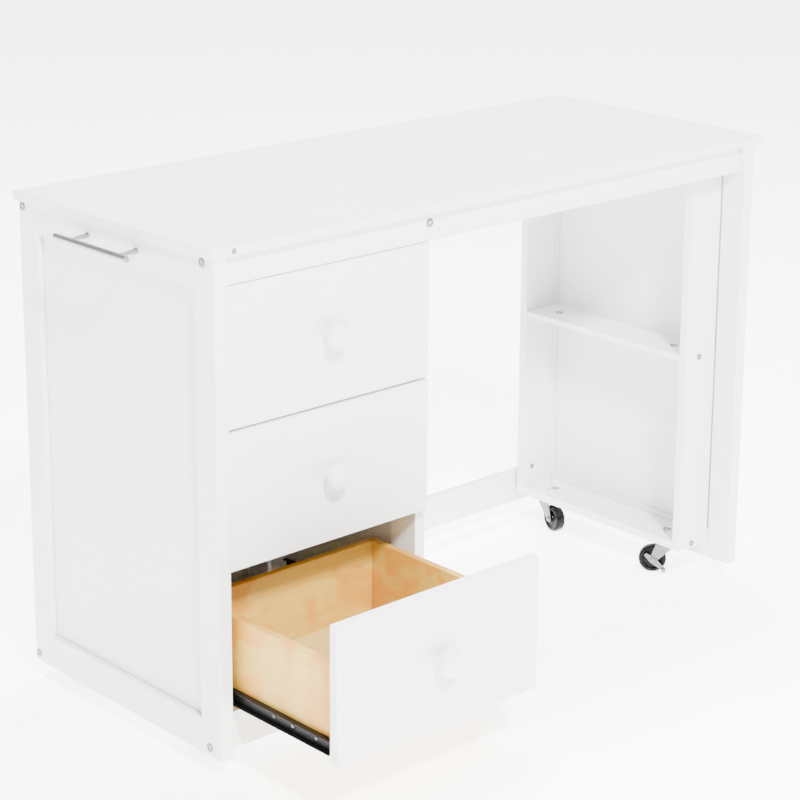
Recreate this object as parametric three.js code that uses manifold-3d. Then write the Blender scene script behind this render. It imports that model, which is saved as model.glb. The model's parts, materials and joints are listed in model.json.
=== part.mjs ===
// Pedestal desk on four swivel casters: a thin top on two frame-and-panel ends, three drawers
// on the left, a shallow open shelf unit on the right and a bar handle to pull it by.
// Millimetres, +Z up. X runs along the desk from the handled end, Y from front to back.
import * as THREE from "three";
import { mergeVertices } from "three/addons/utils/BufferGeometryUtils.js";
import Module from "manifold-3d";

const wasm = await Module();
wasm.setup();

// ---- Driving dimensions ----

const LENGTH = 1120;             // over the two end frames
const DEPTH = 463;               // front to back of the end frames
const HEIGHT = 774;              // floor to the top surface
const TOP_THICK = 14;
const TOP_OVER_LEFT = 6;         // how far the top runs past the ends
const TOP_OVER_RIGHT = 24;
const TOP_OVER_FRONT = 2;
const TOP_OVER_BACK = 8;
const SEAT = 0.3;                // space left between boards that are joined

const STILE_WIDE = 45;           // end frame's uprights, seen from the side
const END_THICK = 22;
const TOP_RAIL_TALL = 43;        // the ends' top rails, the apron and the rear top rail
const BOTTOM_RAIL_TALL = 52;
const PANEL_THICK = 6;
const PANEL_RECESS = 10;         // from the end's outer face to its panel
const GROOVE_DEEP = 7;           // groove that the panel's edge sits in

const FOOT_DROP = 28;            // the ends' feet hang this far below the caster boards
const SETBACK = 11;              // apron and drawer fronts, behind the stiles' faces
const APRON_THICK = 18;
const LOW_RAIL_LIFT = 7;         // low rails stand this far above the ends' feet
const LOW_RAIL_TALL = 57;
const REAR_RAIL_THICK = 18;

const PEDESTAL_WIDE = 373;       // clear width of the drawer bay
const INNER_SIDE_THICK = 20;
const INNER_STILE_WIDE = 55;
const BACK_THICK = 5;
const BASE_THICK = 15;           // the boards that the casters are fixed to
const BACK_SPACE = 9;            // between the pedestal or shelf unit and the rear rails

const SHELF_UNIT_DEEP = 73;      // along the desk, from its open side to the right end
const SHELF_SIDE_THICK = 15;
const STILE_CLEAR = 2;           // the shelf unit's front stands this far behind the front stile
const SHELF_THICK = 10;
const SHELF_LEVEL = 405;         // the middle shelf's upper face

const DRAWERS = 3;
const FRONT_THICK = 16;
const FRONT_GAP = 2.5;           // round each drawer front
const FRONT_LAP = 7.5;           // how far a front covers the inner side's edge
const BOX_LONG = 315;
const BOX_TALL = 130;
const BOX_WALL = 12;
const BOX_LIFT = 10;             // box's underside above its front's lower edge
const BOX_FLOOR_THICK = 5;
const BOX_FLOOR_LIFT = 10;
const DRAWER_OPEN = [0, 0, 233]; // how far each stands open, from the top one down

const SLIDE_LONG = 300;
const SLIDE_TALL = 27;
const SLIDE_WIDE = 12.7;         // both members together
const SLIDE_SHEET = 1.4;
const SLIDE_LIFT = -2;           // the slide's lower edge from the box's underside
const SLIDE_PLAY = 1.5;          // between the inner member and the outer one

const KNOB_CAP = 41;             // diameter
const KNOB_NECK = 17;
const KNOB_OUT = 29;
const KNOB_DOME = 12;            // how much of that is the cap

const HANDLE_BAR = 10;           // diameter
const HANDLE_LONG = 172;
const HANDLE_CENTRES = 116;
const HANDLE_OUT = 36;           // from the rail to the bar's axis
const HANDLE_POST = 8;

const WHEEL_ACROSS = 48;
const WHEEL_HEADROOM = 3.2;      // between the wheel and the fork's crown
const WHEEL_WIDE = 18;
const WHEEL_TRAIL = 20;          // from the swivel axis to the wheel's axle
const AXLE_ACROSS = 5;
const STEM_ACROSS = 8;
const TURN_PLAY = 0.3;           // between anything that turns and what it turns in
const FORK_SHEET = 2;
const FORK_PLAY = 1.2;           // between the wheel's side and the fork
const HEAD_ACROSS = 30;
const HEAD_TALL = 5;
const CROWN_SINK = 0.5;          // the crown is pressed this far into the swivel head
const BRAKE_SHEET = 1.6;
const SWING_CLEAR = 2;           // between a wheel turned outwards and the end's bottom rail
const CASTER_END = 55;           // swivel axis from the front and rear of the boards
const CASTER_TURN = { left_front: 200, left_rear: 165, right_front: 133, right_rear: 258 };
const BRAKED = ["left_front", "right_front"];
const BRAKE_TILT = -40;          // degrees; the rocker's toe end points down towards the stem

// ---- Places that follow from them ----

const UNDERSIDE = HEIGHT - TOP_THICK;
const CABINET_BASE = WHEEL_ACROSS + WHEEL_HEADROOM + FORK_SHEET - CROWN_SINK + HEAD_TALL + TURN_PLAY;
const END_FOOT = CABINET_BASE - FOOT_DROP;
const RAIL_BOTTOM = UNDERSIDE - TOP_RAIL_TALL;
const LOW_RAIL = END_FOOT + LOW_RAIL_LIFT;
const LEFT_INNER = END_THICK;
const RIGHT_INNER = LENGTH - END_THICK;
const BAY_RIGHT = LEFT_INNER + PEDESTAL_WIDE;
const CARCASS_FRONT = SETBACK + APRON_THICK;
const SHELF_OPEN = RIGHT_INNER - SHELF_UNIT_DEEP;
const REAR_RAIL = DEPTH - REAR_RAIL_THICK;
const CABINET_BACK = REAR_RAIL - BACK_SPACE;
const SHELF_FRONT = STILE_WIDE + STILE_CLEAR;

// ---- Materials ----

const finish = (color, roughness, metalness) =>
  () => new THREE.MeshStandardMaterial({ color, roughness, metalness });
const paint = finish(0xf4f4f2, 0.45, 0);
const pine = finish(0xe3b878, 0.6, 0);
const plywood = finish(0xd9c5a0, 0.7, 0);
const blackSteel = finish(0x1b1b1c, 0.4, 0.8);
const brightSteel = finish(0xb9bbbd, 0.3, 1);
const blackTyre = finish(0x161616, 0.55, 0);

// ---- Shapes ----

const desk = new THREE.Group();

function place(name, geometry, material, parent = desk) {
  const mesh = new THREE.Mesh(geometry, material());
  mesh.name = name;
  parent.add(mesh);
  return mesh;
}

// A plain board between two corners.
function board(name, material, [x0, x1], [y0, y1], [z0, z1]) {
  const mesh = place(name, new THREE.BoxGeometry(x1 - x0, y1 - y0, z1 - z0), material);
  mesh.position.set((x0 + x1) / 2, (y0 + y1) / 2, (z0 + z1) / 2);
  return mesh;
}

function outline(points) {
  const shape = new THREE.Shape();
  points.forEach(([x, y], i) => (i ? shape.lineTo(x, y) : shape.moveTo(x, y)));
  shape.closePath();
  return shape;
}

function prism(shape, length, curveSegments = 8) {
  return new THREE.ExtrudeGeometry(shape, { depth: length, bevelEnabled: false, curveSegments });
}

// A geometry as a solid that can be joined and cut.
function solid(geometry, matrix = new THREE.Matrix4()) {
  const bare = geometry.clone().applyMatrix4(matrix);
  bare.deleteAttribute("normal");
  bare.deleteAttribute("uv");
  const merged = mergeVertices(bare, 1e-4);
  const vertProperties = new Float32Array(merged.attributes.position.array);
  const triVerts = new Uint32Array(merged.index.array);
  return new wasm.Manifold(new wasm.Mesh({ numProp: 3, vertProperties, triVerts }));
}

function geometryOf(manifold) {
  const mesh = manifold.getMesh();
  const geometry = new THREE.BufferGeometry();
  geometry.setAttribute("position", new THREE.BufferAttribute(mesh.vertProperties, mesh.numProp));
  geometry.setIndex(new THREE.BufferAttribute(mesh.triVerts, 1));
  geometry.computeVertexNormals();
  return geometry;
}

// A round bar from one height to another on a vertical axis.
function rod(across, z0, z1, x = 0, y = 0, sides = 24) {
  const turned = new THREE.CylinderGeometry(across / 2, across / 2, z1 - z0, sides);
  turned.rotateX(Math.PI / 2).translate(x, y, (z0 + z1) / 2);
  return turned;
}

// ---- Top ----

board("tabletop", paint, [-TOP_OVER_LEFT, LENGTH + TOP_OVER_RIGHT],
  [-TOP_OVER_FRONT, DEPTH + TOP_OVER_BACK], [UNDERSIDE + SEAT, HEIGHT]);

// ---- End frames ----

// Section of a grooved board: `wide` across the frame, END_THICK through it. The groove is in
// the edge at `wide`, and its near wall is PANEL_RECESS from the outer face.
function groovedSection(wide) {
  const near = PANEL_RECESS - SEAT;
  const far = PANEL_RECESS + PANEL_THICK + SEAT;
  const floor = wide - GROOVE_DEEP;
  return outline([[0, 0], [END_THICK, 0], [END_THICK, wide], [far, wide], [far, floor],
    [near, floor], [near, wide], [0, wide]]);
}

// One end frame. `face` is the x of its outer face and `inward` is +1 or -1 towards the desk.
function endFrame(side, face, inward) {
  const frame = new THREE.Group();
  frame.position.x = face;
  desk.add(frame);
  const tall = UNDERSIDE - END_FOOT;
  // The right end is the left one mirrored, and its triangles are turned to face out again.
  const mirrored = (geometry) => {
    if (inward > 0) return geometry;
    geometry.scale(-1, 1, 1);
    const { array, itemSize } = geometry.attributes.position;
    for (let i = 0; i < array.length; i += 3 * itemSize) {
      const second = array.slice(i + itemSize, i + 2 * itemSize);
      array.copyWithin(i + itemSize, i + 2 * itemSize, i + 3 * itemSize);
      array.set(second, i + 2 * itemSize);
    }
    geometry.computeVertexNormals();
    return geometry;
  };
  const front = prism(groovedSection(STILE_WIDE), tall);
  front.translate(0, 0, END_FOOT);
  place(`${side}_front_stile`, mirrored(front), paint, frame);
  const rear = prism(groovedSection(STILE_WIDE), tall);
  rear.rotateX(Math.PI).translate(0, DEPTH, UNDERSIDE);
  place(`${side}_rear_stile`, mirrored(rear), paint, frame);

  const between = DEPTH - 2 * STILE_WIDE - 2 * SEAT;
  const top = prism(groovedSection(TOP_RAIL_TALL), between);
  top.rotateX(-Math.PI / 2).translate(0, STILE_WIDE + SEAT, UNDERSIDE);
  place(`${side}_top_rail`, mirrored(top), paint, frame);
  const bottom = prism(groovedSection(BOTTOM_RAIL_TALL), between);
  bottom.rotateX(Math.PI / 2).translate(0, DEPTH - STILE_WIDE - SEAT, END_FOOT);
  place(`${side}_bottom_rail`, mirrored(bottom), paint, frame);

  const tongue = GROOVE_DEEP - SEAT;
  const panel = board(`${side}_panel`, paint, [0, PANEL_THICK],
    [STILE_WIDE - tongue, DEPTH - STILE_WIDE + tongue],
    [END_FOOT + BOTTOM_RAIL_TALL - tongue, RAIL_BOTTOM + tongue]);
  panel.position.x = inward * (PANEL_RECESS + PANEL_THICK / 2);
  frame.add(panel);
}

endFrame("left", 0, 1);
endFrame("right", LENGTH, -1);

// ---- Long rails ----

const railSpan = [LEFT_INNER + SEAT, RIGHT_INNER - SEAT];
board("front_apron", paint, railSpan, [SETBACK, CARCASS_FRONT], [RAIL_BOTTOM, UNDERSIDE]);
board("rear_top_rail", paint, railSpan, [REAR_RAIL, DEPTH], [RAIL_BOTTOM, UNDERSIDE]);
board("rear_low_rail", paint, railSpan, [REAR_RAIL, DEPTH], [LOW_RAIL, LOW_RAIL + LOW_RAIL_TALL]);

// ---- Drawer pedestal ----

const innerSide = [BAY_RIGHT, BAY_RIGHT + INNER_SIDE_THICK];
const sideFront = CARCASS_FRONT + SEAT;
const innerPanelInset = (INNER_SIDE_THICK - PANEL_THICK) / 2;
board("pedestal_front_stile", paint, innerSide, [sideFront, sideFront + INNER_STILE_WIDE],
  [LOW_RAIL, UNDERSIDE]);
board("pedestal_rear_stile", paint, innerSide, [CABINET_BACK - INNER_STILE_WIDE, CABINET_BACK],
  [LOW_RAIL, UNDERSIDE]);
board("pedestal_side_panel", paint,
  [BAY_RIGHT + innerPanelInset, BAY_RIGHT + INNER_SIDE_THICK - innerPanelInset],
  [sideFront + INNER_STILE_WIDE + SEAT, CABINET_BACK - INNER_STILE_WIDE - SEAT],
  [LOW_RAIL, UNDERSIDE]);
board("pedestal_front_rail", paint, [LEFT_INNER + SEAT, BAY_RIGHT + INNER_SIDE_THICK],
  [SETBACK, CARCASS_FRONT], [LOW_RAIL, LOW_RAIL + LOW_RAIL_TALL]);
board("pedestal_back", plywood, [LEFT_INNER + SEAT, BAY_RIGHT + INNER_SIDE_THICK],
  [CABINET_BACK + SEAT, CABINET_BACK + SEAT + BACK_THICK], [CABINET_BASE, UNDERSIDE]);

// A board that casters hang from, with a bore through it for each stem.
function casterBoard(name, [x0, x1], [y0, y1], stems) {
  const slab = new THREE.BoxGeometry(x1 - x0, y1 - y0, BASE_THICK);
  slab.translate((x0 + x1) / 2, (y0 + y1) / 2, CABINET_BASE + BASE_THICK / 2);
  let body = solid(slab);
  for (const [x, y] of stems) {
    const bore = rod(STEM_ACROSS + 2 * TURN_PLAY, CABINET_BASE - 1, CABINET_BASE + BASE_THICK + 1, x, y);
    body = body.subtract(solid(bore));
  }
  place(name, geometryOf(body), paint);
}

const frontStem = SHELF_FRONT + CASTER_END;
const rearStem = CABINET_BACK - CASTER_END;
const swing = WHEEL_TRAIL + WHEEL_ACROSS / 2 + SWING_CLEAR;
const leftStem = LEFT_INNER + swing;
const rightStem = RIGHT_INNER - swing;
casterBoard("pedestal_base", [LEFT_INNER + SEAT, BAY_RIGHT - SEAT], [sideFront, CABINET_BACK],
  [[leftStem, frontStem], [leftStem, rearStem]]);

// ---- Shelf unit ----

const unitSpan = [SHELF_OPEN, RIGHT_INNER - SEAT];
const insideFront = SHELF_FRONT + SHELF_SIDE_THICK;
const insideRear = CABINET_BACK - SHELF_SIDE_THICK;
board("shelf_front_board", paint, unitSpan, [SHELF_FRONT, insideFront], [CABINET_BASE, UNDERSIDE]);
board("shelf_rear_board", paint, unitSpan, [insideRear, CABINET_BACK], [CABINET_BASE, UNDERSIDE]);
board("middle_shelf", paint, unitSpan, [insideFront + SEAT, insideRear - SEAT],
  [SHELF_LEVEL - SHELF_THICK, SHELF_LEVEL]);
casterBoard("shelf_base", unitSpan, [insideFront + SEAT, insideRear - SEAT],
  [[rightStem, frontStem], [rightStem, rearStem]]);

// ---- Bar handle ----

function barHandle() {
  const end = HANDLE_BAR / 2;
  const chamfer = 1;
  const half = HANDLE_LONG / 2;
  const profile = [[0, -half], [end - chamfer, -half], [end, chamfer - half], [end, half - chamfer],
    [end - chamfer, half], [0, half]];
  const bar = new THREE.LatheGeometry(profile.map(([x, y]) => new THREE.Vector2(x, y)), 24);
  let body = solid(bar, new THREE.Matrix4().makeTranslation(-HANDLE_OUT, 0, 0));
  for (const y of [-HANDLE_CENTRES / 2, HANDLE_CENTRES / 2]) {
    const post = new THREE.CylinderGeometry(HANDLE_POST / 2, HANDLE_POST / 2, HANDLE_OUT, 24);
    post.rotateZ(Math.PI / 2).translate(-HANDLE_OUT / 2, y, 0);
    body = body.add(solid(post));
  }
  return geometryOf(body);
}

const handle = place("pull_handle", barHandle(), brightSteel);
handle.position.set(-SEAT, DEPTH / 2, UNDERSIDE - TOP_RAIL_TALL / 2);

// ---- Drawers ----

const pitch = (RAIL_BOTTOM - LOW_RAIL - LOW_RAIL_TALL) / DRAWERS;
const boxLeft = LEFT_INNER + SLIDE_WIDE + SEAT;
const boxRight = BAY_RIGHT - SLIDE_WIDE - SEAT;
const boxFront = SETBACK + FRONT_THICK + SEAT;
const slideFront = CARCASS_FRONT + 2;

// Section of a slide member: a channel whose web is at x = 0 and whose lips reach to `reach`.
function channel(tall, reach) {
  const t = SLIDE_SHEET;
  return outline([[0, 0], [reach, 0], [reach, t], [t, t], [t, tall - t], [reach, tall - t],
    [reach, tall], [0, tall]]);
}

// A channel laid along Y from the front; `web` is the x of its web's outer face.
function slideMember(name, web, inward, tall, reach, y, z, parent) {
  const section = channel(tall, reach);
  const member = prism(section, SLIDE_LONG);
  member.rotateX(Math.PI / 2);
  if (inward < 0) member.rotateZ(Math.PI).translate(0, -SLIDE_LONG, 0);
  member.translate(0, SLIDE_LONG, 0);
  const mesh = place(name, member, blackSteel, parent);
  mesh.position.set(web, y, z);
  return mesh;
}

// A glued box of two sides and a back, open at the front and below.
function drawerBox() {
  const wide = boxRight - boxLeft;
  const walls = outline([[0, 0], [BOX_WALL, 0], [BOX_WALL, BOX_LONG - BOX_WALL],
    [wide - BOX_WALL, BOX_LONG - BOX_WALL], [wide - BOX_WALL, 0], [wide, 0], [wide, BOX_LONG],
    [0, BOX_LONG]]);
  return prism(walls, BOX_TALL);
}

function knobShape() {
  const cap = KNOB_CAP / 2;
  const neck = KNOB_NECK / 2;
  const rim = KNOB_OUT - KNOB_DOME;
  const points = [[0, 0], [neck + 2, 0], [neck + 1, 2.5], [neck, 6], [neck, rim - 5],
    [neck + 3, rim - 2]];
  const steps = 8;
  const under = Math.PI / 5;     // how far the cap curls in below its widest place
  const widest = rim + KNOB_DOME / 4;
  for (let i = 0; i <= steps; i++) {
    const a = -under + (i / steps) * (Math.PI / 2 + under);
    points.push([i === steps ? 0 : cap * Math.cos(a), widest + (KNOB_OUT - widest) * Math.sin(a)]);
  }
  return new THREE.LatheGeometry(points.map(([x, y]) => new THREE.Vector2(x, y)), 32).rotateX(Math.PI);
}

function drawer(number, open) {
  const top = RAIL_BOTTOM - (number - 1) * pitch;
  const bottom = top - pitch + FRONT_GAP;
  const boxBase = bottom + BOX_LIFT;
  const name = `drawer_${number}`;
  const moving = new THREE.Group();
  moving.position.y = -open;
  desk.add(moving);

  const frontRight = BAY_RIGHT + FRONT_LAP;
  const front = board(`${name}_front`, paint, [LEFT_INNER + FRONT_GAP / 2, frontRight],
    [SETBACK, SETBACK + FRONT_THICK], [bottom, top - FRONT_GAP / 2]);
  moving.add(front);
  const box = place(`${name}_box`, drawerBox(), pine, moving);
  box.position.set(boxLeft, boxFront, boxBase);
  const floor = board(`${name}_bottom`, plywood,
    [boxLeft + BOX_WALL + SEAT, boxRight - BOX_WALL - SEAT],
    [boxFront, boxFront + BOX_LONG - BOX_WALL - SEAT],
    [boxBase + BOX_FLOOR_LIFT, boxBase + BOX_FLOOR_LIFT + BOX_FLOOR_THICK]);
  moving.add(floor);
  const knob = place(`${name}_knob`, knobShape(), paint, moving);
  knob.position.set((LEFT_INNER + frontRight) / 2, SETBACK - SEAT, (bottom + top) / 2);

  const slideBase = boxBase + SLIDE_LIFT;
  const innerTall = SLIDE_TALL - 2 * SLIDE_SHEET - 2 * SLIDE_PLAY;
  const innerBase = slideBase + SLIDE_SHEET + SLIDE_PLAY;
  const reach = SLIDE_WIDE - SLIDE_SHEET - SLIDE_PLAY;
  slideMember(`${name}_left_outer_slide`, LEFT_INNER + SEAT, 1, SLIDE_TALL, reach, slideFront,
    slideBase, desk);
  slideMember(`${name}_right_outer_slide`, BAY_RIGHT - SEAT, -1, SLIDE_TALL, reach, slideFront,
    slideBase, desk);
  slideMember(`${name}_left_inner_slide`, boxLeft - SEAT, -1, innerTall, reach, slideFront,
    innerBase, moving);
  slideMember(`${name}_right_inner_slide`, boxRight + SEAT, 1, innerTall, reach, slideFront,
    innerBase, moving);
}

DRAWER_OPEN.forEach((open, i) => drawer(i + 1, open));

// ---- Casters ----

const wheelRadius = WHEEL_ACROSS / 2;
const forkInside = WHEEL_WIDE / 2 + FORK_PLAY;
const axleHalf = forkInside + FORK_SHEET + BRAKE_SHEET + 2 * TURN_PLAY + 1;

// Tyre and hub in one, turned about its bore.
function wheelShape() {
  const half = WHEEL_WIDE / 2;
  const bore = AXLE_ACROSS / 2 + TURN_PLAY;
  const shoulder = 3;
  const dish = 1.5;
  const points = [[bore, -half], [bore + 3, -half], [bore + 4, dish - half],
    [wheelRadius - 5, dish - half], [wheelRadius - 4, -half]];
  for (let i = 0; i <= 3; i++) {
    const a = -Math.PI / 2 + (i / 3) * (Math.PI / 2);
    points.push([wheelRadius - shoulder + shoulder * Math.cos(a),
      shoulder - half + shoulder * Math.sin(a)]);
  }
  const mirrored = points.map(([x, y]) => [x, -y]).reverse();
  const ring = [...points, ...mirrored, points[0]];
  return new THREE.LatheGeometry(ring.map(([x, y]) => new THREE.Vector2(x, y)), 32);
}

// Stem, swivel head, two cheeks and the axle, riveted into one. The swivel axis is at x = 0.
function forkShape() {
  const headTop = CABINET_BASE - TURN_PLAY;
  const headBase = headTop - HEAD_TALL;
  const head = solid(rod(HEAD_ACROSS, headBase, headTop, 0, 0, 32));
  const stem = solid(rod(STEM_ACROSS, headTop - 1, CABINET_BASE + BASE_THICK - 2));
  const crown = new THREE.BoxGeometry(HEAD_ACROSS, 2 * (forkInside + FORK_SHEET), FORK_SHEET);
  crown.translate(0, 0, headBase - FORK_SHEET / 2 + CROWN_SINK);
  let body = head.add(stem).add(solid(crown));
  const cheek = new THREE.Shape();
  const eye = 6;
  cheek.moveTo(-HEAD_ACROSS / 2, headBase + CROWN_SINK);
  cheek.lineTo(HEAD_ACROSS / 2, headBase + CROWN_SINK);
  cheek.lineTo(WHEEL_TRAIL + eye * 0.9, wheelRadius + eye * 0.4);
  cheek.absarc(WHEEL_TRAIL, wheelRadius, eye, Math.PI / 7, -Math.PI * 0.72, true);
  cheek.lineTo(-HEAD_ACROSS / 2, headBase - 5);
  cheek.closePath();
  for (const side of [-1, 1]) {
    const plate = prism(cheek, FORK_SHEET, 6).rotateX(Math.PI / 2);
    plate.translate(0, side > 0 ? forkInside + FORK_SHEET : -forkInside, 0);
    body = body.add(solid(plate));
  }
  const axle = new THREE.CylinderGeometry(AXLE_ACROSS / 2, AXLE_ACROSS / 2, 2 * axleHalf, 24);
  axle.translate(WHEEL_TRAIL, 0, wheelRadius);
  return geometryOf(body.add(solid(axle)));
}

// A rocking plate on the axle's outer end, with a toe tab at one end and a heel at the other.
function brakeShape() {
  const toe = wheelRadius + 2;
  const heel = 17;
  const broad = 6;
  const rocker = new THREE.Shape();
  rocker.moveTo(-heel, -broad / 2);
  rocker.lineTo(0, -broad);
  rocker.lineTo(toe, -broad / 2);
  rocker.lineTo(toe, broad / 2);
  rocker.lineTo(0, broad);
  rocker.lineTo(-heel, broad / 2);
  rocker.closePath();
  const eye = new THREE.Path();
  eye.absarc(0, 0, AXLE_ACROSS / 2 + TURN_PLAY, 0, 2 * Math.PI, true);
  rocker.holes.push(eye);
  const plate = solid(prism(rocker, BRAKE_SHEET, 12).rotateX(Math.PI / 2));
  const tab = new THREE.BoxGeometry(BRAKE_SHEET, 7, broad).translate(toe - BRAKE_SHEET / 2, -3.5, 0);
  return geometryOf(plate.add(solid(tab))).rotateZ(Math.PI);
}

function caster(corner, x, y) {
  const turn = new THREE.Group();
  turn.position.set(x, y, 0);
  turn.rotation.z = THREE.MathUtils.degToRad(CASTER_TURN[corner]);
  desk.add(turn);
  place(`${corner}_caster_fork`, forkShape(), brightSteel, turn);
  const wheel = place(`${corner}_caster_wheel`, wheelShape(), blackTyre, turn);
  wheel.position.set(WHEEL_TRAIL, 0, wheelRadius);
  if (!BRAKED.includes(corner)) return;
  const brake = place(`${corner}_caster_brake`, brakeShape(), brightSteel, turn);
  brake.position.set(WHEEL_TRAIL, forkInside + FORK_SHEET + TURN_PLAY, wheelRadius);
  brake.rotation.y = THREE.MathUtils.degToRad(BRAKE_TILT);
}

caster("left_front", leftStem, frontStem);
caster("left_rear", leftStem, rearStem);
caster("right_front", rightStem, frontStem);
caster("right_rear", rightStem, rearStem);

// ---- Origin: the middle of the whole model's footprint, on the floor ----

const lowX = -SEAT - HANDLE_OUT - HANDLE_BAR / 2;
const highX = LENGTH + TOP_OVER_RIGHT;
const lowY = SETBACK - Math.max(...DRAWER_OPEN) - SEAT - KNOB_OUT;
const highY = DEPTH + TOP_OVER_BACK;
desk.position.set(-(lowX + highX) / 2, -(lowY + highY) / 2, 0);

const model = new THREE.Group();
model.add(desk);
export default model;
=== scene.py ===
import json
from math import cos, radians, sin

import bmesh
import bpy
from mathutils import Matrix, Vector


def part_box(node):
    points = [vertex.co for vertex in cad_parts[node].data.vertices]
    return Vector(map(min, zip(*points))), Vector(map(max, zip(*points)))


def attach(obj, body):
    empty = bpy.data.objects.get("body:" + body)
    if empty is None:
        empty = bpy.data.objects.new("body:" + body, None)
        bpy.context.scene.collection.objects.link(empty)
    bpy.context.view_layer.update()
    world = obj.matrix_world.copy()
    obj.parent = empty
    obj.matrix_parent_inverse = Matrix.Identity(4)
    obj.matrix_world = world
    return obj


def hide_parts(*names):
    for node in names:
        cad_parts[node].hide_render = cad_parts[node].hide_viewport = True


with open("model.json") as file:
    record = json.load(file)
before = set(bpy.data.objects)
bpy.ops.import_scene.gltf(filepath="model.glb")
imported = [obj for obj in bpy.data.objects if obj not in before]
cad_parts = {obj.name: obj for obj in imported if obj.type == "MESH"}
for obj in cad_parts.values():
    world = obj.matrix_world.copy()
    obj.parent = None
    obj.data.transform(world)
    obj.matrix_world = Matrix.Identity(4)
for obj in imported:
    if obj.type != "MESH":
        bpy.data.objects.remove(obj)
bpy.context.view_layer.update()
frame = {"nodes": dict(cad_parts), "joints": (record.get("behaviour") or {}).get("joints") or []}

# ---- Studio ----
# A pale floor under the desk, an even white surround, and three soft lamps: the main one high at
# the left front, one overhead and a faint one at the left. The camera faces the handled corner.

FLOOR_SIDE, FLOOR_GLOW, SURROUND = 60.0, 3.7, 1.15
LAMP_AIM = Vector((0, 0, 0.4))
LENS = 103.9
FRAME_DROP = -0.15
CAMERA_PLACE = Vector((-2.362, -2.455, 1.540))
CAMERA_YAW, CAMERA_PITCH, CAMERA_ROLL = radians(42.45), radians(15.26), radians(0.33)


def start_clean():
    if bpy.context.mode != "OBJECT":
        bpy.ops.object.mode_set(mode="OBJECT")
    bpy.ops.object.select_all(action="DESELECT")


def named(name):
    piece = bpy.context.object
    piece.name = piece.data.name = name
    return piece


start_clean()
bpy.ops.mesh.primitive_plane_add(size=FLOOR_SIDE, location=(0, 0, 0))
floor = named("studio_floor")
floor_paint = bpy.data.materials.new("studio_floor")
floor_paint.use_nodes = True
floor_shader = floor_paint.node_tree.nodes["Principled BSDF"]
floor_shader.inputs["Base Color"].default_value = (0.98, 0.98, 0.98, 1)
floor_shader.inputs["Roughness"].default_value = 0.9
floor_shader.inputs["Emission Color"].default_value = (1, 1, 1, 1)
floor_shader.inputs["Emission Strength"].default_value = FLOOR_GLOW
floor.data.materials.append(floor_paint)

world = bpy.data.worlds.new("studio")
bpy.context.scene.world = world
world.use_nodes = True
world.node_tree.nodes["Background"].inputs["Color"].default_value = (1, 1, 1, 1)
world.node_tree.nodes["Background"].inputs["Strength"].default_value = SURROUND


def softbox(name, place, side, watts):
    start_clean()
    bpy.ops.object.light_add(type="AREA", location=place)
    lamp = named(name)
    lamp.data.size = side
    lamp.data.energy = watts
    lamp.rotation_euler = (LAMP_AIM - Vector(place)).to_track_quat("-Z", "Y").to_euler()


softbox("front_lamp", (-1.7, -3.6, 4.3), 0.7, 1050)
softbox("left_lamp", (-4.6, 1.4, 2.6), 2.0, 25)
softbox("top_lamp", (0.8, 0.8, 4.4), 1.4, 640)

forward = Vector((sin(CAMERA_YAW) * cos(CAMERA_PITCH), cos(CAMERA_YAW) * cos(CAMERA_PITCH),
                  -sin(CAMERA_PITCH)))
level = Vector((cos(CAMERA_YAW), -sin(CAMERA_YAW), 0))
upright = level.cross(forward)
right = level * cos(CAMERA_ROLL) + upright * sin(CAMERA_ROLL)
above = upright * cos(CAMERA_ROLL) - level * sin(CAMERA_ROLL)
bpy.ops.object.camera_add(location=CAMERA_PLACE)
camera = named("camera")
camera.matrix_world = Matrix((right, above, -forward)).transposed().to_4x4()
camera.location = CAMERA_PLACE
camera.data.lens = LENS
camera.data.sensor_width = 36
camera.data.shift_y = FRAME_DROP
camera.data.clip_end = 200
bpy.context.scene.camera = camera

# ---- Tabletop ----
# One 14 mm board sprayed satin white. The finish is close to smooth: a fine orange peel, slow
# waves in its gloss, faint rub marks, and edges eased by hand so that the paint holds.

WHITE = (0.76, 0.76, 0.758)
RUBBED_WHITE = (0.70, 0.695, 0.685)
TOP_EDGE = 0.0018
CORNER_GAP = 0.00001


class Wire:
    """One shader socket. Arithmetic on it adds Math nodes, and `node` adds any other node."""

    def __init__(self, tree, socket=None):
        self.tree = tree
        self.socket = socket

    def node(self, kind, settings=None, inputs=None, out=0):
        made = self.tree.nodes.new(kind)
        for key, value in (settings or {}).items():
            if key == "stops":
                marks = made.color_ramp.elements
                while len(marks) < len(value):
                    marks.new(0.5)
                for stop, (at, colour) in zip(marks, value):
                    stop.position = at
                    stop.color = (*colour, 1)
            else:
                setattr(made, key, value)
        for key, value in (inputs or {}).items():
            self.plug(made.inputs[key], value)
        return Wire(self.tree, made.outputs[out])

    def plug(self, socket, value):
        if isinstance(value, Wire):
            self.tree.links.new(value.socket, socket)
        elif hasattr(value, "__len__") and len(value) == 3 and socket.type == "RGBA":
            socket.default_value = (*value, 1)
        else:
            socket.default_value = value

    def maths(self, operation, first, second):
        return self.node("ShaderNodeMath", {"operation": operation}, {0: first, 1: second})

    def __add__(self, other):
        return self.maths("ADD", self, other)

    def __radd__(self, other):
        return self.maths("ADD", other, self)

    def __mul__(self, other):
        return self.maths("MULTIPLY", self, other)

    def __rmul__(self, other):
        return self.maths("MULTIPLY", other, self)


def new_finish(name, **shader_settings):
    """A material, its shader, and the wire of its object coordinates."""
    finish = bpy.data.materials.new(name)
    finish.use_nodes = True
    shader = finish.node_tree.nodes["Principled BSDF"]
    for key, value in shader_settings.items():
        shader.inputs[key.replace("_", " ")].default_value = value
    place = Wire(finish.node_tree).node("ShaderNodeTexCoord", out="Object")
    return finish, shader, place


def stretched(place, scale):
    return place.node("ShaderNodeMapping", {}, {"Vector": place, "Scale": scale})


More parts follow.
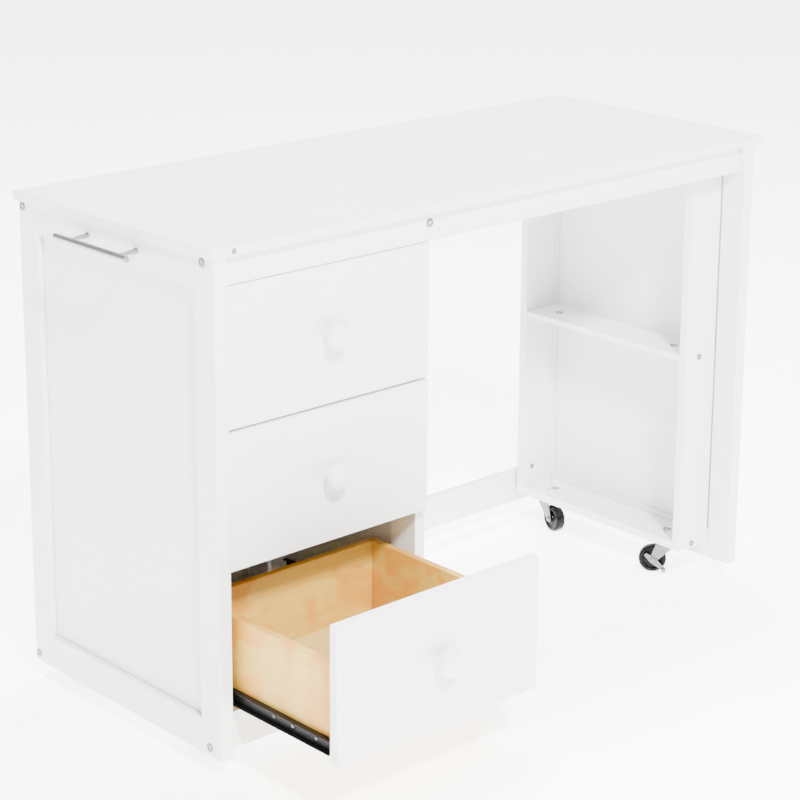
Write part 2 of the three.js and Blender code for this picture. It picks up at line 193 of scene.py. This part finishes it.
def noise(place, scale, detail=2.0, swirl=0.0):
    return place.node("ShaderNodeTexNoise", {}, {"Vector": place, "Scale": scale,
                                                 "Detail": detail, "Distortion": swirl}, "Fac")


def ramp(value, *stops):
    """A value turned into a colour, or into another value where the stops are plain numbers."""
    colours = [(at, (c, c, c) if isinstance(c, (int, float)) else c) for at, c in stops]
    return value.node("ShaderNodeValToRGB", {"stops": colours}, {"Fac": value}, "Color")


def blended(mask, first, second):
    return mask.node("ShaderNodeMix", {"data_type": "RGBA"}, {0: mask, 6: first, 7: second}, 2)


def bumped(height, strength, distance):
    return height.node("ShaderNodeBump", {}, {"Height": height, "Strength": strength,
                                              "Distance": distance})


def white_finish(name, grain=None):
    """Satin white paint. `grain` stretches the wood that shows faintly through it."""
    finish, shader, place = new_finish(name)
    slow = noise(place, 2.6, 2.0)
    rubs = ramp(noise(stretched(place, (14, 9, 11)), 1.0, 5.0, 0.6), (0.56, 0), (0.78, 1))
    peel = noise(place, 520.0, 1.0)
    if grain:
        fibres = noise(stretched(place, grain), 1.0, 5.0, 0.4)
        height = peel * 0.25 + fibres * 0.75
        shade = slow * 0.4 + fibres * 0.6
    else:
        height = peel * 0.6 + noise(place, 70.0, 2.0) * 0.4
        shade = slow
    clean = blended(shade, tuple(c * 0.965 for c in WHITE), WHITE)
    worn = blended(rubs * 0.25, clean, RUBBED_WHITE)
    place.plug(shader.inputs["Base Color"], worn)
    place.plug(shader.inputs["Roughness"], 0.30 + slow * 0.16 + rubs * 0.12)
    place.plug(shader.inputs["Normal"], bumped(height, 0.4, 0.0002))
    return finish


def eased(node, finish, width):
    """Paints a carried-over board and rounds its edges, leaving its own mesh as it is."""
    plank = frame["nodes"][node]
    weld = plank.modifiers.new("join_corners", "WELD")
    weld.merge_threshold = CORNER_GAP
    easing = plank.modifiers.new("ease_edges", "BEVEL")
    easing.width = width
    easing.segments = 3
    easing.limit_method = "ANGLE"
    easing.angle_limit = radians(35)
    easing.harden_normals = True
    plank.data.materials.clear()
    plank.data.materials.append(finish)


smooth_white = white_finish("white_satin")
eased("tabletop", smooth_white, TOP_EDGE)

# ---- End frames ----
# Each end is two uprights and two rails of solid wood, glued and dowelled, round a thin flat
# panel that floats in their grooves. The paint shows the grain only as faint lines along it.

FRAME_EDGE = 0.0013
PANEL_EDGE = 0.0006
GRAIN_ACROSS, GRAIN_ALONG = 260, 5

white_upright = white_finish("white_satin_upright", (GRAIN_ACROSS, GRAIN_ACROSS, GRAIN_ALONG))
white_cross = white_finish("white_satin_cross", (GRAIN_ACROSS, GRAIN_ALONG, GRAIN_ACROSS))
white_long = white_finish("white_satin_long", (GRAIN_ALONG, GRAIN_ACROSS, GRAIN_ACROSS))

for side in ("left", "right"):
    for upright_name in ("front_stile", "rear_stile"):
        eased(f"{side}_{upright_name}", white_upright, FRAME_EDGE)
    for rail_name in ("top_rail", "bottom_rail"):
        eased(f"{side}_{rail_name}", white_cross, FRAME_EDGE)
    eased(f"{side}_panel", smooth_white, PANEL_EDGE)

# ---- Long rails ----
# The apron and the two rear rails are planed softwood boards bolted between the ends. They
# hold the desk square and leave the knee space open to the back.

for rail_name in ("front_apron", "rear_top_rail", "rear_low_rail"):
    eased(rail_name, white_long, FRAME_EDGE)

# ---- Drawer pedestal ----
# The bay for the drawers: a framed inner side, a rail under the lowest drawer, a base board and
# a thin back let in behind, all painted like the rest. The drawers' bottoms are bare plywood.

PLY_PALE, PLY_DARK = (0.60, 0.45, 0.15), (0.46, 0.29, 0.07)


def plywood_finish(name, grain):
    """Rotary-cut veneer: wide wavy figure, short pores and a dull sealed face."""
    finish, shader, place = new_finish(name)
    sheet = stretched(place, grain)
    figure = noise(sheet, 1.0, 3.0, 2.2)
    pores = noise(sheet, 18.0, 2.0)
    rings = ramp(figure, (0.35, 0), (0.47, 0.8), (0.52, 0.15), (0.66, 0.7))
    tone = blended(rings * 0.55 + pores * 0.25, PLY_PALE, PLY_DARK)
    place.plug(shader.inputs["Base Color"], tone)
    place.plug(shader.inputs["Roughness"], 0.58 + pores * 0.2)
    place.plug(shader.inputs["Normal"], bumped(pores * 0.6 + figure * 0.4, 0.5, 0.00025))
    return finish


for upright_name in ("pedestal_front_stile", "pedestal_rear_stile"):
    eased(upright_name, white_upright, FRAME_EDGE)
eased("pedestal_side_panel", smooth_white, PANEL_EDGE)
eased("pedestal_front_rail", white_long, FRAME_EDGE)
eased("pedestal_base", white_long, FRAME_EDGE)
eased("pedestal_back", smooth_white, PANEL_EDGE)

# ---- Shelf unit ----
# Two tall boards, a base and one fixed shelf, screwed to the right end so that the unit opens
# on the knee space. All are painted boards with the same eased edges.

for upright_name in ("shelf_front_board", "shelf_rear_board"):
    eased(upright_name, white_upright, FRAME_EDGE)
for flat_name in ("middle_shelf", "shelf_base"):
    eased(flat_name, white_cross, FRAME_EDGE)

# ---- Bolts, screws and plugs ----
# Plated furniture bolts with low round heads and hexagon sockets pull the frame together
# through its faces, with smaller ones in the shelf unit and a cap in the top's front edge.

BOLT_HEAD, BOLT_RISE, BOLT_SUNK = 0.0068, 0.0012, 0.003
SOCKET = 0.0029
HEAD_SIDES = 40
PLATE = (0.20, 0.20, 0.205)


def plated_finish(name, colour, streaks, rough):
    """Bright plated steel: cloudy plating, drawn streaks and handling marks in the gloss."""
    finish, shader, place = new_finish(name, Metallic=1.0)
    cloud = noise(place, 90.0, 4.0)
    drawn = noise(stretched(place, streaks), 1.0, 3.0)
    dull = ramp(noise(place, 45.0, 5.0, 0.8), (0.5, 0), (0.75, 1))
    tone = blended(cloud * 0.6 + dull * 0.4, colour, tuple(c * 0.72 for c in colour))
    place.plug(shader.inputs["Base Color"], tone)
    place.plug(shader.inputs["Roughness"], rough + drawn * 0.14 + dull * 0.16)
    place.plug(shader.inputs["Normal"], bumped(drawn, 0.35, 0.00008))
    return finish


def shaped_with(piece, kind, **settings):
    """Adds one modifier to a piece and applies it."""
    start_clean()
    piece.select_set(True)
    bpy.context.view_layer.objects.active = piece
    step = piece.modifiers.new(kind.lower(), kind)
    for key, value in settings.items():
        setattr(step, key, value)
    bpy.ops.object.modifier_apply(modifier=step.name)


def smoothed(piece, angle=35):
    start_clean()
    piece.select_set(True)
    bpy.context.view_layer.objects.active = piece
    bpy.ops.object.shade_smooth_by_angle(angle=radians(angle))
    return piece


def turned(name, profile, sides=HEAD_SIDES):
    """A round piece on the Z axis, drawn up ring by ring from (radius, height) pairs."""
    (foot, low), (second, up) = profile[:2]
    start_clean()
    bpy.ops.mesh.primitive_cone_add(vertices=sides, radius1=foot, radius2=second, depth=up - low,
                                    location=(0, 0, (low + up) / 2))
    piece = named(name)
    bpy.ops.object.transform_apply(location=True, rotation=True, scale=True)
    bpy.ops.object.mode_set(mode="EDIT")
    bpy.ops.mesh.select_mode(type="FACE")
    bpy.ops.mesh.select_all(action="DESELECT")
    rings = bmesh.from_edit_mesh(piece.data)
    ends = [face for face in rings.faces if len(face.verts) == sides]
    max(ends, key=lambda face: face.calc_center_median().z).select_set(True)
    bmesh.update_edit_mesh(piece.data)
    radius, height = second, up
    for wider, higher in profile[2:]:
        bpy.ops.mesh.extrude_region_move(
            TRANSFORM_OT_translate={"value": (0, 0, higher - height)})
        if wider:
            bpy.ops.transform.resize(value=(wider / radius, wider / radius, 1),
                                     center_override=(0, 0, 0))
        else:
            bpy.ops.mesh.merge(type="CENTER")
        radius, height = wider, higher
    bpy.ops.mesh.select_all(action="SELECT")
    bpy.ops.mesh.normals_make_consistent(inside=False)
    bpy.ops.object.mode_set(mode="OBJECT")
    return smoothed(piece)


def set_down(piece, place, facing):
    """Turns a piece made on the Z axis to face a direction and leaves its place in its mesh."""
    turn = Vector((0, 0, 1)).rotation_difference(Vector(facing)).to_matrix().to_4x4()
    piece.data.transform(Matrix.Translation(place) @ turn)
    piece.data.update()
    return piece


def copied(piece, name):
    twin = bpy.data.objects.new(name, piece.data.copy())
    twin.data.name = name
    bpy.context.scene.collection.objects.link(twin)
    return twin


def fitted(piece, finish, body, slot, *nodes):
    piece.data.materials.clear()
    piece.data.materials.append(finish)
    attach(piece, body)
    if nodes:
        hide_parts(*nodes)
    return piece


plated = plated_finish("plated_bolts", PLATE, (300, 300, 300), 0.26)
bolt = turned("bolt_pattern", [
    (BOLT_HEAD * 0.97, -BOLT_SUNK), (BOLT_HEAD, -BOLT_SUNK + 0.0003),
    (BOLT_HEAD, BOLT_RISE - 0.0007), (BOLT_HEAD * 0.96, BOLT_RISE - 0.0003),
    (BOLT_HEAD * 0.86, BOLT_RISE), (BOLT_HEAD * 0.62, BOLT_RISE)])
start_clean()
bpy.ops.mesh.primitive_cylinder_add(vertices=6, radius=SOCKET, depth=0.006,
                                    location=(0, 0, BOLT_RISE))
socket_cut = named("socket_cut")
shaped_with(bolt, "BOOLEAN", operation="DIFFERENCE", object=socket_cut)
bpy.data.objects.remove(socket_cut)
smoothed(bolt)

front_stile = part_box("left_front_stile")
right_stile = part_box("right_front_stile")
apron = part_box("front_apron")
rear_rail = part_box("rear_top_rail")
inner_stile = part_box("pedestal_front_stile")
shelf_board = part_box("shelf_front_board")
rear_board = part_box("shelf_rear_board")
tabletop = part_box("tabletop")
shelf_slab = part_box("middle_shelf")

TOP_BOLT_DOWN, LOW_BOLT_UP, FRONT_BOLT_IN = 0.0083, 0.013, 0.026
APRON_BOLT_UP, APRON_BOLT_IN = 0.027, 0.007
SHELF_BOLT_IN, SHELF_BOLT_UP, BASE_BOLT_UP, SHELF_BOLT_SIZE = 0.033, 0.005, 0.0075, 0.78
BACK_BOLT_IN, BACK_BOLT_UP, BACK_BOLT_SIZE = 0.023, 0.049, 0.7
rear_bolt_y = (rear_rail[0].y + rear_rail[1].y) / 2
bolt_places = []
for face, facing in ((front_stile[0].x, (-1, 0, 0)), (right_stile[1].x, (1, 0, 0))):
    for y in (front_stile[0].y + FRONT_BOLT_IN, rear_bolt_y):
        for z in (front_stile[1].z - TOP_BOLT_DOWN, front_stile[0].z + LOW_BOLT_UP):
            bolt_places.append(((face, y, z), facing, 1.0))
apron_bolt_z = apron[0].z + APRON_BOLT_UP
apron_bolt_x = inner_stile[0].x + APRON_BOLT_IN
bolt_places.append(((apron_bolt_x, apron[0].y, apron_bolt_z), (0, -1, 0), 1.0))
bolt_places.append(((apron_bolt_x, rear_rail[1].y, apron_bolt_z), (0, 1, 0), 1.0))
shelf_bolt_x = shelf_board[0].x + SHELF_BOLT_IN
for z in (shelf_slab[0].z + SHELF_BOLT_UP, shelf_board[0].z + BASE_BOLT_UP):
    bolt_places.append(((shelf_bolt_x, shelf_board[0].y, z), (0, -1, 0), SHELF_BOLT_SIZE))
    bolt_places.append(((shelf_bolt_x, rear_board[1].y, z), (0, 1, 0), SHELF_BOLT_SIZE))
bolt_places.append(((shelf_board[0].x + BACK_BOLT_IN, rear_board[0].y,
                     rear_board[0].z + BACK_BOLT_UP), (0, -1, 0), BACK_BOLT_SIZE))
for number, (place, facing, size) in enumerate(bolt_places, 1):
    one = copied(bolt, f"frame_bolt_{number:02d}")
    one.data.transform(Matrix.Diagonal((size, size, 1, 1)))
    fitted(set_down(one, place, facing), plated, "frame", "stainless")
bpy.data.objects.remove(bolt)

CAM_ROUND = 0.0072
CAM_SLOT = (0.0088, 0.0014, 0.0016)
CAM_FROM_END, CAM_FROM_FACE = 0.045, 0.038
cam = turned("cam_pattern", [(CAM_ROUND, -0.001), (CAM_ROUND, 0.0002), (CAM_ROUND * 0.93, 0.0005),
                             (CAM_ROUND * 0.88, 0.0002), (CAM_ROUND * 0.5, 0.0002)], 32)
start_clean()
bpy.ops.mesh.primitive_cube_add(size=1, location=(0, 0, 0))
cross_cut = named("cross_cut")
cross_cut.scale = CAM_SLOT
bpy.ops.object.transform_apply(location=True, rotation=True, scale=True)
shaped_with(cam, "BOOLEAN", operation="DIFFERENCE", object=cross_cut)
cross_cut.data.transform(Matrix.Rotation(radians(90), 4, "Z"))
shaped_with(cam, "BOOLEAN", operation="DIFFERENCE", object=cross_cut)
bpy.data.objects.remove(cross_cut)
smoothed(cam)
for slab_name in ("middle_shelf", "shelf_base"):
    low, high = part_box(slab_name)
    for end, y in (("front", low.y + CAM_FROM_END), ("rear", high.y - CAM_FROM_END)):
        one = set_down(copied(cam, f"{slab_name}_{end}_cam"),
                       (low.x + CAM_FROM_FACE, y, high.z), (0, 0, 1))
        fitted(one, plated, "frame", "stainless")
bpy.data.objects.remove(cam)

EDGE_CAP, CAP_FROM_STILE = 0.0042, 0.011
cap = turned("edge_cap", [(EDGE_CAP, -0.001), (EDGE_CAP, 0.0003), (EDGE_CAP * 0.9, 0.0007),
                          (EDGE_CAP * 0.45, 0.0008), (0, 0.00055)], 24)
cap_place = (front_stile[1].x + CAP_FROM_STILE, tabletop[0].y, (tabletop[0].z + tabletop[1].z) / 2)
fitted(set_down(cap, cap_place, (0, -1, 0)), plated, "frame", "stainless")

# ---- Bar handle ----
# A brushed stainless T-bar on two posts, screwed through the left end's top rail. It is for
# pulling the whole desk along on its casters.

BAR_ROUND, POST_ROUND, POST_FOOT = 0.005, 0.0036, 0.0052
POST_CENTRES = 0.116
STAINLESS = (0.36, 0.36, 0.357)

handle_low, handle_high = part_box("pull_handle")
handle_middle = (handle_low + handle_high) / 2
bar_x = handle_low.x + BAR_ROUND
half_bar = (handle_high.y - handle_low.y) / 2
bar = turned("pull_handle_bar", [
    (BAR_ROUND * 0.55, -half_bar), (BAR_ROUND * 0.8, -half_bar + 0.0001),
    (BAR_ROUND * 0.95, -half_bar + 0.0005), (BAR_ROUND, -half_bar + 0.0013),
    (BAR_ROUND, half_bar - 0.0013), (BAR_ROUND * 0.95, half_bar - 0.0005),
    (BAR_ROUND * 0.8, half_bar - 0.0001), (BAR_ROUND * 0.55, half_bar)])
set_down(bar, (bar_x, handle_middle.y, handle_middle.z), (0, 1, 0))
reach = handle_high.x - bar_x
for end in (-1, 1):
    post = turned("pull_handle_post", [
        (POST_FOOT, 0), (POST_FOOT, 0.0012), (POST_FOOT * 0.9, 0.0018), (POST_ROUND, 0.0022),
        (POST_ROUND, reach * 0.6), (POST_ROUND, reach)], 32)
    set_down(post, (handle_high.x, handle_middle.y + end * POST_CENTRES / 2, handle_middle.z),
             (-1, 0, 0))
    shaped_with(bar, "BOOLEAN", operation="UNION", object=post)
    bpy.data.objects.remove(post)
smoothed(bar)
brushed = plated_finish("brushed_stainless", STAINLESS, (1400, 16, 1400), 0.2)
fitted(bar, brushed, "frame", "stainless", "pull_handle")

# ---- Drawer fronts and knobs ----
# Each front is a flat 16 mm slab, sprayed on every face, that covers its opening. The knob is
# a turned mushroom of wood, painted with it and held by one screw from inside.

FRONT_EDGE = 0.0016
KNOB_CAP, KNOB_NECK = 0.0204, 0.0084
DRAWERS = (1, 2, 3)

for number in DRAWERS:
    eased(f"drawer_{number}_front", smooth_white, FRONT_EDGE)
knob_low, knob_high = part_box("drawer_1_knob")
stand = knob_high.y - knob_low.y
knob = turned("knob_pattern", [
    (KNOB_NECK + 0.0024, 0), (KNOB_NECK + 0.0024, 0.0008), (KNOB_NECK + 0.0017, 0.0021),
    (KNOB_NECK + 0.0004, 0.0036), (KNOB_NECK, 0.0058), (KNOB_NECK + 0.0001, 0.0078),
    (KNOB_NECK + 0.0010, 0.0096), (KNOB_NECK + 0.0034, 0.0112), (KNOB_CAP * 0.80, 0.0126),
    (KNOB_CAP * 0.93, 0.0143), (KNOB_CAP * 0.99, 0.0166), (KNOB_CAP, 0.0192),
    (KNOB_CAP * 0.985, 0.0215), (KNOB_CAP * 0.94, 0.0237), (KNOB_CAP * 0.86, 0.0254),
    (KNOB_CAP * 0.73, 0.0269), (KNOB_CAP * 0.55, stand - 0.0009), (KNOB_CAP * 0.34, stand - 0.0003),
    (KNOB_CAP * 0.14, stand - 0.00002), (0, stand)], 64)
for number in DRAWERS:
    low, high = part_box(f"drawer_{number}_knob")
    one = set_down(copied(knob, f"drawer_{number}_knob_turned"),
                   ((low.x + high.x) / 2, high.y, (low.z + high.z) / 2), (0, -1, 0))
    fitted(smoothed(one, 60), smooth_white, f"drawer_{number}", "white_paint",
           f"drawer_{number}_knob")
bpy.data.objects.remove(knob)

# ---- Drawer boxes ----
# Two sides and a back of clear-coated pine, glued and pinned at the corners, on a thin plywood
# bottom. The wood is pale with tan growth lines, warm patches and a few small knots.

BOX_EDGE = 0.0011
PINE_ACROSS, PINE_ALONG = 62, 3.2
KNOT_ACROSS, KNOT_ALONG = 13.0, 8.0
PINE_PALE, PINE_TAN, PINE_WARM, PINE_KNOT = ((0.61, 0.385, 0.065), (0.51, 0.285, 0.032),
                                             (0.55, 0.215, 0.006), (0.10, 0.03, 0.006))


def pine_finish(name, grain_axis):
    """Pine with growth lines and silky fibres along one axis, warm patches and small knots."""
    finish, shader, place = new_finish(name, Coat_Weight=0.12, Coat_Roughness=0.3)
    lengthwise = [PINE_ALONG if axis == grain_axis else PINE_ACROSS for axis in "xyz"]
    knot_spread = [KNOT_ALONG if axis == grain_axis else KNOT_ACROSS for axis in "xyz"]
    lines = noise(stretched(place, lengthwise), 1.0, 4.0, 1.1)
    fibres = noise(stretched(place, [12 * s for s in lengthwise]), 1.0, 3.0)
    growth = ramp(lines, (0.34, 0), (0.46, 0.75), (0.50, 0.2), (0.58, 0.9), (0.66, 0.25))
    patches = ramp(noise(place, 9.0, 3.0, 1.2), (0.52, 0), (0.60, 1))
    spots = place.node("ShaderNodeTexVoronoi", {}, {
        "Vector": stretched(place, knot_spread), "Scale": 1.0}, "Distance")
    knots = ramp(spots, (0.0, 1), (0.06, 0.85), (0.10, 0.3), (0.2, 0))
    wood = blended(growth * 0.7 + fibres * 0.25, PINE_PALE, PINE_TAN)
    warm = blended(patches * 0.7, wood, PINE_WARM)
    place.plug(shader.inputs["Base Color"], blended(knots * 0.8, warm, PINE_KNOT))
    place.plug(shader.inputs["Roughness"], 0.42 + fibres * 0.2)
    place.plug(shader.inputs["Normal"], bumped(fibres * 0.6 + growth * 0.4, 0.4, 0.0002))
    return finish


def plank(name, low, high, edge):
    """A sawn board between two corners, its edges eased."""
    start_clean()
    low, high = Vector(low), Vector(high)
    bpy.ops.mesh.primitive_cube_add(size=1, location=(low + high) / 2)
    made = named(name)
    made.scale = high - low
    bpy.ops.object.transform_apply(location=True, rotation=True, scale=True)
    shaped_with(made, "BEVEL", width=edge, segments=3)
    return smoothed(made)


pine_sides = pine_finish("pine_along_y", "y")
pine_backs = pine_finish("pine_along_x", "x")
plywood_flat = plywood_finish("plywood_bottom", (3, 16, 16))
BOX_WALL = 0.012
BOTTOM_EDGE = 0.0004
PIN_HEAD, PIN_ROWS, FIRST_PIN_UP, PIN_PITCH = 0.0011, 3, 0.03, 0.035
for number in DRAWERS:
    body = f"drawer_{number}"
    low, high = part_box(f"{body}_box")
    inner_left, inner_right = low.x + BOX_WALL, high.x - BOX_WALL
    left_side = plank(f"{body}_left_side", low, (inner_left, high.y, high.z), BOX_EDGE)
    right_side = plank(f"{body}_right_side", (inner_right, low.y, low.z), high, BOX_EDGE)
    back = plank(f"{body}_back", (inner_left, high.y - BOX_WALL, low.z),
                 (inner_right, high.y, high.z), BOX_EDGE)
    fitted(left_side, pine_sides, body, "pine", f"{body}_box")
    fitted(right_side, pine_sides, body, "pine", f"{body}_box")
    fitted(back, pine_backs, body, "pine", f"{body}_box")
    eased(f"{body}_bottom", plywood_flat, BOTTOM_EDGE)
    for side, face, facing in (("left", low.x, (-1, 0, 0)), ("right", high.x, (1, 0, 0))):
        for row in range(PIN_ROWS):
            z = low.z + FIRST_PIN_UP + PIN_PITCH * row
            pin = turned(f"{body}_{side}_pin_{row + 1}", [
                (PIN_HEAD, -0.001), (PIN_HEAD, 0.0001), (PIN_HEAD * 0.8, 0.0003), (0, 0.0002)], 12)
            set_down(pin, (face, high.y - BOX_WALL / 2, z), facing)
            fitted(pin, plated, body, "stainless")

# ---- Drawer slides ----
# Side-mounted ball slides pressed from black-coated steel strip: one member screwed to the
# carcass, one to the box, with bright screws through the box member's web.

SLIDE_BLACK = (0.004, 0.004, 0.0045)
SCREW_HEAD = 0.0031
SCREW_SLOT = (0.0034, 0.0008, 0.0018)
SLIDE_SHEET, SLIDE_EDGE = 0.0014, 0.0003
SCREWS_ALONG = (0.035, 0.085, 0.125, 0.265)


def coated_finish(name):
    """Black electro-coated strip: a fine texture, scuffed along its running direction."""
    finish, shader, place = new_finish(name, Specular_IOR_Level=0.12)
    grain = noise(place, 900.0, 2.0)
    scuffs = ramp(noise(stretched(place, (220, 9, 220)), 1.0, 4.0), (0.58, 0), (0.72, 1))
    place.plug(shader.inputs["Base Color"], blended(scuffs * 0.5, SLIDE_BLACK, (0.02, 0.02, 0.021)))
    place.plug(shader.inputs["Roughness"], 0.3 + grain * 0.12 + scuffs * 0.15)
    place.plug(shader.inputs["Normal"], bumped(grain, 0.3, 0.0001))
    return finish


coated = coated_finish("black_slide_steel")
screw = turned("screw_pattern", [(SCREW_HEAD, -0.0004), (SCREW_HEAD, 0.0003),
                                 (SCREW_HEAD * 0.9, 0.0010), (SCREW_HEAD * 0.65, 0.0015),
                                 (SCREW_HEAD * 0.42, 0.0016)], 24)
start_clean()
bpy.ops.mesh.primitive_cube_add(size=1, location=(0, 0, 0.0016))
slot_cut = named("slot_cut")
slot_cut.scale = SCREW_SLOT
bpy.ops.object.transform_apply(location=True, rotation=True, scale=True)
shaped_with(screw, "BOOLEAN", operation="DIFFERENCE", object=slot_cut)
slot_cut.data.transform(Matrix.Rotation(radians(90), 4, "Z"))
shaped_with(screw, "BOOLEAN", operation="DIFFERENCE", object=slot_cut)
bpy.data.objects.remove(slot_cut)
smoothed(screw)
for number in DRAWERS:
    body = f"drawer_{number}"
    for side, facing in (("left", -1), ("right", 1)):
        eased(f"{body}_{side}_outer_slide", coated, SLIDE_EDGE)
        eased(f"{body}_{side}_inner_slide", coated, SLIDE_EDGE)
        low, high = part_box(f"{body}_{side}_inner_slide")
        web = (high.x if facing < 0 else low.x) + facing * SLIDE_SHEET
        for row, along in enumerate(SCREWS_ALONG, 1):
            one = set_down(copied(screw, f"{body}_{side}_slide_screw_{row}"),
                           (web, low.y + along, (low.z + high.z) / 2), (facing, 0, 0))
            fitted(one, plated, body, "stainless")
bpy.data.objects.remove(screw)

# ---- Casters ----
# Four small stem casters. A stem and ball race carry a pressed zinc fork, the wheel turns on a
# riveted axle, and the front pair has a rocking brake plate with a round toe.

ZINC = (0.17, 0.17, 0.175)
TYRE = (0.0012, 0.0012, 0.0014)
TOE_ROUND, TOE_WIDE, TOE_OUT = 0.0035, 0.0076, 0.0252
TOE_SLOPE = radians(40)
CHEEK_FACE, BRAKE_FACE = 0.0122, 0.0142
FORK_EDGE, BRAKE_EDGE = 0.00035, 0.0003


def tyre_finish(name):
    """Glossy moulded black nylon with a little dust held on the tread."""
    finish, shader, place = new_finish(name, Specular_IOR_Level=0.12)
    dust = ramp(noise(place, 160.0, 5.0), (0.5, 0), (0.8, 1))
    place.plug(shader.inputs["Base Color"], blended(dust * 0.3, TYRE, (0.012, 0.0117, 0.0114)))
    place.plug(shader.inputs["Roughness"], 0.22 + dust * 0.3)
    place.plug(shader.inputs["Normal"], bumped(noise(place, 1200.0, 2.0), 0.25, 0.0001))
    return finish


def merged_copy(node, name):
    """A carried-over part's shape as a new piece, with its corners joined and flats made whole."""
    start_clean()
    piece = copied(frame["nodes"][node], name)
    piece.select_set(True)
    bpy.context.view_layer.objects.active = piece
    bpy.ops.mesh.customdata_custom_splitnormals_clear()
    bpy.ops.object.mode_set(mode="EDIT")
    bpy.ops.mesh.select_all(action="SELECT")
    bpy.ops.mesh.remove_doubles(threshold=0.000005)
    bpy.ops.mesh.dissolve_limited(angle_limit=radians(1))
    bpy.ops.object.mode_set(mode="OBJECT")
    return piece


zinc = plated_finish("zinc_fork", ZINC, (260, 260, 260), 0.24)
rubber = tyre_finish("black_tyre")
half_wheel = [(0.0056, 0.0090), (0.0072, 0.0089), (0.0080, 0.0070), (0.0110, 0.0064),
              (0.0154, 0.0066), (0.0168, 0.0084), (0.0184, 0.0090), (0.0206, 0.0088),
              (0.0223, 0.0079), (0.0235, 0.0062), (0.0240, 0.0040)]
wheel = turned("wheel_pattern",
               [(r, -z) for r, z in half_wheel] + [(r, z) for r, z in reversed(half_wheel)], 64)
axle_cap = turned("axle_cap_pattern", [(0.0044, 0), (0.0044, 0.0009), (0.0038, 0.0016),
                                       (0.0024, 0.0021), (0, 0.0022)], 32)
axle_rivet = turned("axle_rivet_pattern", [(0.0050, 0), (0.0050, 0.0014), (0.0042, 0.0026),
                                           (0.0028, 0.0036), (0, 0.0040)], 32)
toe_roller = turned("toe_pattern", [
    (TOE_ROUND * 0.8, 0), (TOE_ROUND, 0.0006), (TOE_ROUND, TOE_WIDE * 0.45),
    (TOE_ROUND * 0.94, TOE_WIDE * 0.5), (TOE_ROUND, TOE_WIDE * 0.55),
    (TOE_ROUND, TOE_WIDE - 0.0006), (TOE_ROUND * 0.8, TOE_WIDE), (0, TOE_WIDE)], 24)
joints = {joint["name"]: joint for joint in frame["joints"]}
for corner in ("left_front", "left_rear", "right_front", "right_rear"):
    body = f"{corner}_caster"
    fork_node, wheel_node = f"{corner}_caster_fork", f"{corner}_caster_wheel"
    centre = Vector(joints[f"{corner}_roll"]["pos_m"])
    axle = Vector(joints[f"{corner}_roll"]["axis"])
    fork = merged_copy(fork_node, f"{corner}_fork")
    shaped_with(fork, "BEVEL", width=FORK_EDGE, segments=2, limit_method="ANGLE",
                angle_limit=radians(40))
    fitted(smoothed(fork), zinc, body, "caster_steel", fork_node)
    tyre = set_down(copied(wheel, f"{corner}_wheel"), centre, axle)
    fitted(smoothed(tyre, 30), rubber, f"{corner}_wheel", "caster_rubber", wheel_node)
    rivet = set_down(copied(axle_rivet, f"{corner}_axle_rivet"), centre - axle * CHEEK_FACE, -axle)
    fitted(rivet, zinc, body, "caster_steel")
    brake_node = f"{corner}_caster_brake"
    braked = brake_node in frame["nodes"]
    near_cap, face = (axle_cap, BRAKE_FACE) if braked else (axle_rivet, CHEEK_FACE)
    end = set_down(copied(near_cap, f"{corner}_axle_end"), centre + axle * face, axle)
    fitted(end, zinc, body, "caster_steel")
    if braked:
        brake = merged_copy(brake_node, f"{corner}_brake")
        shaped_with(brake, "BEVEL", width=BRAKE_EDGE, segments=2, limit_method="ANGLE",
                    angle_limit=radians(40))
        fitted(smoothed(brake), zinc, f"{corner}_brake", "caster_steel", brake_node)
        stem = Vector(joints[f"{corner}_swivel"]["pos_m"])
        trail = Vector((centre.x - stem.x, centre.y - stem.y, 0)).normalized()
        toe = centre - trail * TOE_OUT * cos(TOE_SLOPE) - Vector((0, 0, TOE_OUT * sin(TOE_SLOPE)))
        roller = set_down(copied(toe_roller, f"{corner}_brake_toe"), toe + axle * CHEEK_FACE, axle)
        fitted(roller, zinc, f"{corner}_brake", "caster_steel")
for pattern in (wheel, axle_cap, axle_rivet, toe_roller):
    bpy.data.objects.remove(pattern)
